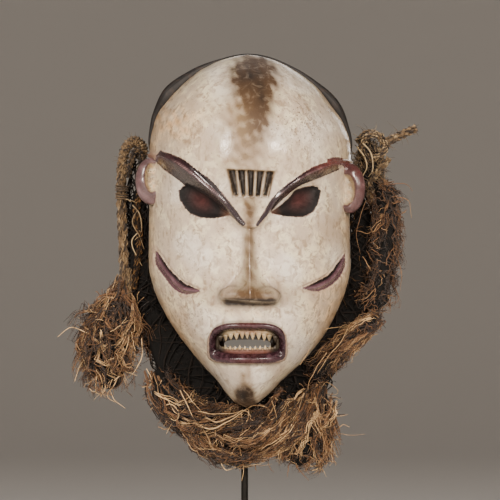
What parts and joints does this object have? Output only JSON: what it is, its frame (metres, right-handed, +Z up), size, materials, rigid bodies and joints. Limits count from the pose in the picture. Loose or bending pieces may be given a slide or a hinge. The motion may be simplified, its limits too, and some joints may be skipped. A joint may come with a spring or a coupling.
{
  "type": "pende mask on a stand",
  "caption": "Hollow carved wooden face mask with white clay paint, dark brows and lips, bared teeth and a raffia collar, held on a black steel rod with a square foot.",
  "frame": {"origin": "middle of the foot's underside", "axes": "+Z up, the mask looks along -Y, +X is the viewer's right"},
  "size_m": [0.2905, 0.1733, 0.4911],
  "materials": {
    "painted_wood": "white clay paint, hand rubbed to a soft gloss, stained brown",
    "black_steel": "satin black paint",
    "rope": "dry twisted raffia",
    "raffia": "dry loose raffia fibre",
    "dark_net": "dark knotted fibre net"
  },
  "bodies": {
    "root": {"mask": "painted_wood", "stand_rod": "black_steel", "stand_foot": "black_steel", "rope_left": "rope", "rope_right": "rope", "tassel_left": "raffia", "fringe_right": "raffia", "jaw_roll_right": "raffia", "jaw_tuft_left": "raffia", "beard_right": "raffia", "chin_roll": "raffia", "net_collar": "dark_net"}
  },
  "joints": []
}
